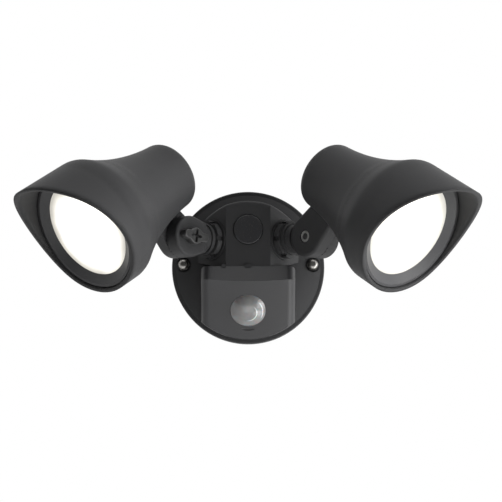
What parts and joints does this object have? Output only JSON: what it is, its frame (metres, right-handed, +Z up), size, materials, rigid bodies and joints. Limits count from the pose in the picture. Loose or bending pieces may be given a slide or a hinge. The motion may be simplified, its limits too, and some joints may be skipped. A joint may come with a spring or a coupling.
{
  "type": "motion sensor security light",
  "caption": "Twin-head outdoor wall light with a round canopy, motion sensor wedge, geared knuckles and hooded bell heads, all in charcoal.",
  "frame": {"origin": "middle of the wall gasket's back face, on the wall", "axes": "+Y into the wall, -Y out of the front, +X to the right seen from the front, +Z up"},
  "size_m": [0.3366, 0.1713, 0.1468],
  "materials": {
    "dark_cast": "matte charcoal powder coat on die-cast aluminium",
    "dark_plastic": "fine satin charcoal polycarbonate",
    "black_rubber": "matte",
    "black_steel": "black oxide",
    "zinc_steel": "bright zinc plate",
    "bright_steel": "polished nickel plate",
    "brass_screw": "turned",
    "bare_aluminium": "plain milled",
    "white_plastic": "matte white",
    "white_board": "white solder mask",
    "green_board": "green solder mask",
    "led_phosphor": "yellow phosphor",
    "frosted_lens": "frosted polycarbonate, lit from behind",
    "pir_plastic": "smoked translucent polyethylene"
  },
  "bodies": {
    "base": {"canopy": "dark_cast", "wall_gasket": "black_rubber", "mounting_bar": "zinc_steel", "mounting_studs": "zinc_steel", "cap_nuts": "bright_steel", "earth_screw": "brass_screw", "blanking_plug": "dark_plastic", "plug_seal": "black_rubber", "led_driver": "white_plastic", "sensor_cover": "dark_plastic", "cover_screws": "zinc_steel", "pir_lens": "pir_plastic", "lens_holder": "dark_plastic", "sensor_board": "green_board", "pyro_sensor": "bright_steel", "relay": "dark_plastic", "dial_controls": "dark_plastic", "left_arm_seal": "black_rubber", "left_lock_nut": "dark_cast", "right_arm_seal": "black_rubber", "right_lock_nut": "dark_cast"},
    "time_knob": {"time_dial": "dark_plastic"},
    "dusk_knob": {"dusk_dial": "dark_plastic"},
    "left_arm": {"left_stem": "dark_cast", "left_screw_washer": "black_steel"},
    "left_clamp_screw": {"left_wing_screw": "black_steel"},
    "left_head": {"left_head_shell": "dark_cast", "left_knuckle_nut": "black_steel", "left_heat_spreader": "bare_aluminium", "left_led_board": "white_board", "left_leds": "led_phosphor", "left_board_screws": "zinc_steel", "left_reflector": "white_plastic", "left_lens_gasket": "black_rubber", "left_lens": "frosted_lens", "left_bezel": "dark_plastic"},
    "right_arm": {"right_stem": "dark_cast", "right_screw_washer": "black_steel"},
    "right_clamp_screw": {"right_wing_screw": "black_steel"},
    "right_head": {"right_head_shell": "dark_cast", "right_knuckle_nut": "black_steel", "right_heat_spreader": "bare_aluminium", "right_led_board": "white_board", "right_leds": "led_phosphor", "right_board_screws": "zinc_steel", "right_reflector": "white_plastic", "right_lens_gasket": "black_rubber", "right_lens": "frosted_lens", "right_bezel": "dark_plastic"}
  },
  "joints": [
    {"name": "time_dial_turn", "type": "hinge", "parent": "base", "child": "time_knob", "pos_m": [-0.01, -0.0207, -0.0504], "axis": [0, 0, -1], "range_deg": [0, 270]},
    {"name": "dusk_dial_turn", "type": "hinge", "parent": "base", "child": "dusk_knob", "pos_m": [0.01, -0.0207, -0.0504], "axis": [0, 0, -1], "range_deg": [0, 270]},
    {"name": "left_swivel", "type": "hinge", "parent": "base", "child": "left_arm", "pos_m": [-0.0285, -0.0315, 0.02], "axis": [-0.7071, -0.7071, 0], "range_deg": [-45, 45]},
    {"name": "left_tilt", "type": "hinge", "parent": "left_arm", "child": "left_head", "pos_m": [-0.05049, -0.05349, 0.02], "axis": [0.7071, -0.7071, 0], "range_deg": [-30, 60]},
    {"name": "left_screw_turn", "type": "hinge", "parent": "left_arm", "child": "left_clamp_screw", "pos_m": [-0.05049, -0.05349, 0.02], "axis": [0.7071, -0.7071, 0], "range_deg": [0, 90]},
    {"name": "right_swivel", "type": "hinge", "parent": "base", "child": "right_arm", "pos_m": [0.0285, -0.0315, 0.02], "axis": [0.7071, -0.7071, 0], "range_deg": [-45, 45]},
    {"name": "right_tilt", "type": "hinge", "parent": "right_arm", "child": "right_head", "pos_m": [0.05049, -0.05349, 0.02], "axis": [0.7071, 0.7071, 0], "range_deg": [-30, 60]},
    {"name": "right_screw_turn", "type": "hinge", "parent": "right_arm", "child": "right_clamp_screw", "pos_m": [0.05049, -0.05349, 0.02], "axis": [0.7071, 0.7071, 0], "range_deg": [0, 90]}
  ]
}
